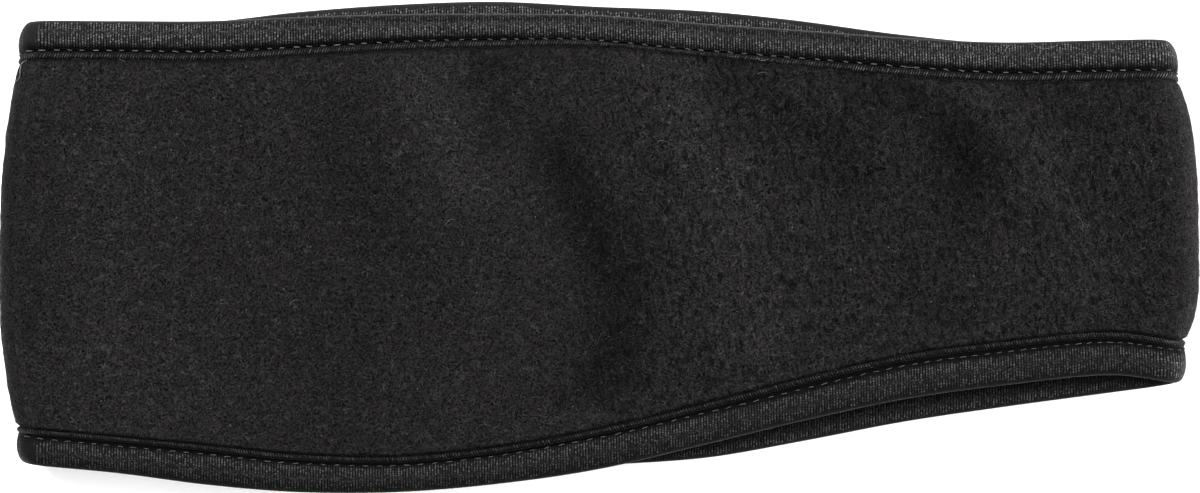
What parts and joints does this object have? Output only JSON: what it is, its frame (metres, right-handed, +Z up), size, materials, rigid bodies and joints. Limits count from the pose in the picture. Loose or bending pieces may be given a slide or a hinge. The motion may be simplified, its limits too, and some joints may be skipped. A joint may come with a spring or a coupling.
{
  "type": "ear warmer headband",
  "caption": "Fleece ear warmer headband, a closed loop lying folded flat, taller at the ears and back than at the forehead, with bound edges.",
  "frame": {"origin": "middle of the bounding box's underside, on the surface that the band lies on", "axes": "+X along the flat loop from the back fold to the forehead fold, +Y across the band towards its upper edge, +Z up from the surface"},
  "size_m": [0.2502, 0.1024, 0.0147],
  "materials": {
    "fleece": "matt black brushed fleece",
    "binding": "black knit stretch tape with a slight shine"
  },
  "bodies": {
    "root": {"fleece_band": "fleece", "upper_binding": "binding", "lower_binding": "binding"}
  },
  "joints": []
}
